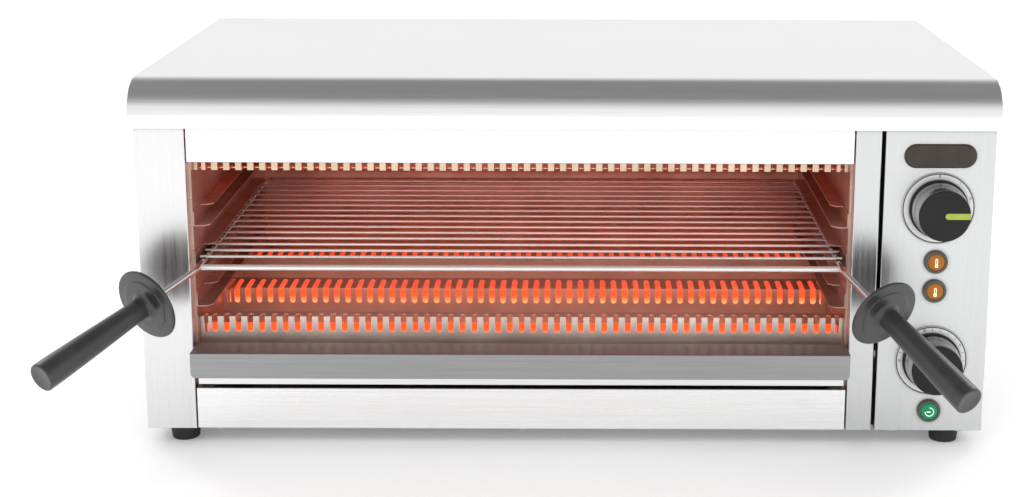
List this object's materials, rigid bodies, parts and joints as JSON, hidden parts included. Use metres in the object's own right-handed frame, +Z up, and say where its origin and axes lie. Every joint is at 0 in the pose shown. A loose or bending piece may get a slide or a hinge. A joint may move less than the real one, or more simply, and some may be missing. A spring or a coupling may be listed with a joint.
{
  "type": "salamander grill",
  "caption": "Counter-top electric salamander grill: open heated cavity, slotted heater guards, rail levels, sliding wire rack with two handles, sliding crumb tray, rotary knobs and lamps.",
  "frame": {"origin": "on the counter under the middle of the whole part, handles and cable gland included", "axes": "+X to the right seen from the front, +Y from the front to the back, +Z up; the handles and knobs point to -Y"},
  "size_m": [0.7605, 0.5358, 0.313],
  "materials": {
    "cover_steel": "brushed stainless",
    "case_steel": "brushed stainless",
    "cavity_steel": "mill-finish stainless, heat tinted",
    "tray_steel": "satin stainless",
    "galvanised_steel": "dull galvanised sheet",
    "rack_wire": "bright plated wire",
    "quartz": "frosted quartz",
    "heater_wire": "glowing resistance wire",
    "ceramic": "unglazed ceramic",
    "black_plastic": "satin moulded plastic",
    "knob_skirt": "turned aluminium",
    "dial_plate": "printed aluminium",
    "badge_plate": "glossy dark bronze, bare",
    "amber_lens": "translucent amber",
    "green_lens": "translucent green",
    "lamp_bezel": "dark moulded plastic",
    "feet_rubber": "matt black rubber",
    "screws": "plain steel",
    "electrical_plastic": "matt"
  },
  "bodies": {
    "cabinet": {"back_panel": "galvanised_steel", "badge_plate": "badge_plate", "base_plate": "galvanised_steel", "cable_gland": "electrical_plastic", "case_screws": "screws", "cavity_back": "cavity_steel", "cavity_wall_left": "cavity_steel", "cavity_wall_right": "cavity_steel", "control_panel": "case_steel", "divider_post": "case_steel", "feet": "feet_rubber", "foot_screws": "screws", "heater_coils": "heater_wire", "lamp_bezel_middle": "lamp_bezel", "lamp_bezel_power": "lamp_bezel", "lamp_bezel_upper": "lamp_bezel", "lamp_lens_middle": "amber_lens", "lamp_lens_power": "green_lens", "lamp_lens_upper": "amber_lens", "lower_fascia": "case_steel", "lower_guard_front": "cavity_steel", "lower_guard_middle": "cavity_steel", "lower_guard_rear": "cavity_steel", "lower_tubes": "quartz", "rail_left_bottom": "cavity_steel", "rail_left_middle": "cavity_steel", "rail_left_top": "cavity_steel", "rail_right_bottom": "cavity_steel", "rail_right_middle": "cavity_steel", "rail_right_top": "cavity_steel", "roof_reflector": "cavity_steel", "selector_dial": "dial_plate", "selector_switch": "electrical_plastic", "side_panel_left": "case_steel", "side_panel_right": "case_steel", "terminal_block": "ceramic", "timer_dial": "dial_plate", "timer_unit": "electrical_plastic", "top_cover": "cover_steel", "tube_caps_left": "ceramic", "tube_caps_right": "ceramic", "upper_fascia": "case_steel", "upper_guard_front": "cavity_steel", "upper_guard_middle": "cavity_steel", "upper_guard_rear": "cavity_steel", "upper_tubes": "quartz"},
    "rack": {"rack_rod_left": "rack_wire", "rack_rod_right": "rack_wire", "rack_cross_bars": "rack_wire", "rack_wires": "rack_wire", "grip_left": "black_plastic", "grip_right": "black_plastic"},
    "tray": {"crumb_tray": "tray_steel", "tray_handle": "tray_steel"},
    "selector": {"selector_knob": "black_plastic", "selector_skirt": "knob_skirt", "selector_shaft": "screws"},
    "timer": {"timer_knob": "black_plastic", "timer_skirt": "knob_skirt", "timer_shaft": "screws"}
  },
  "joints": [
    {"name": "rack_slide", "type": "slide", "parent": "cabinet", "child": "rack", "axis": [0, -1, 0], "range_m": [0, 0.28]},
    {"name": "tray_slide", "type": "slide", "parent": "cabinet", "child": "tray", "axis": [0, -1, 0], "range_m": [0, 0.28]},
    {"name": "selector_turn", "type": "hinge", "parent": "cabinet", "child": "selector", "pos_m": [0.33006, -0.12971, 0.209], "axis": [0, -1, 0], "range_deg": [0, 90]},
    {"name": "timer_turn", "type": "hinge", "parent": "cabinet", "child": "timer", "pos_m": [0.33006, -0.12971, 0.0774], "axis": [0, -1, 0], "range_deg": [-90, 210]}
  ]
}
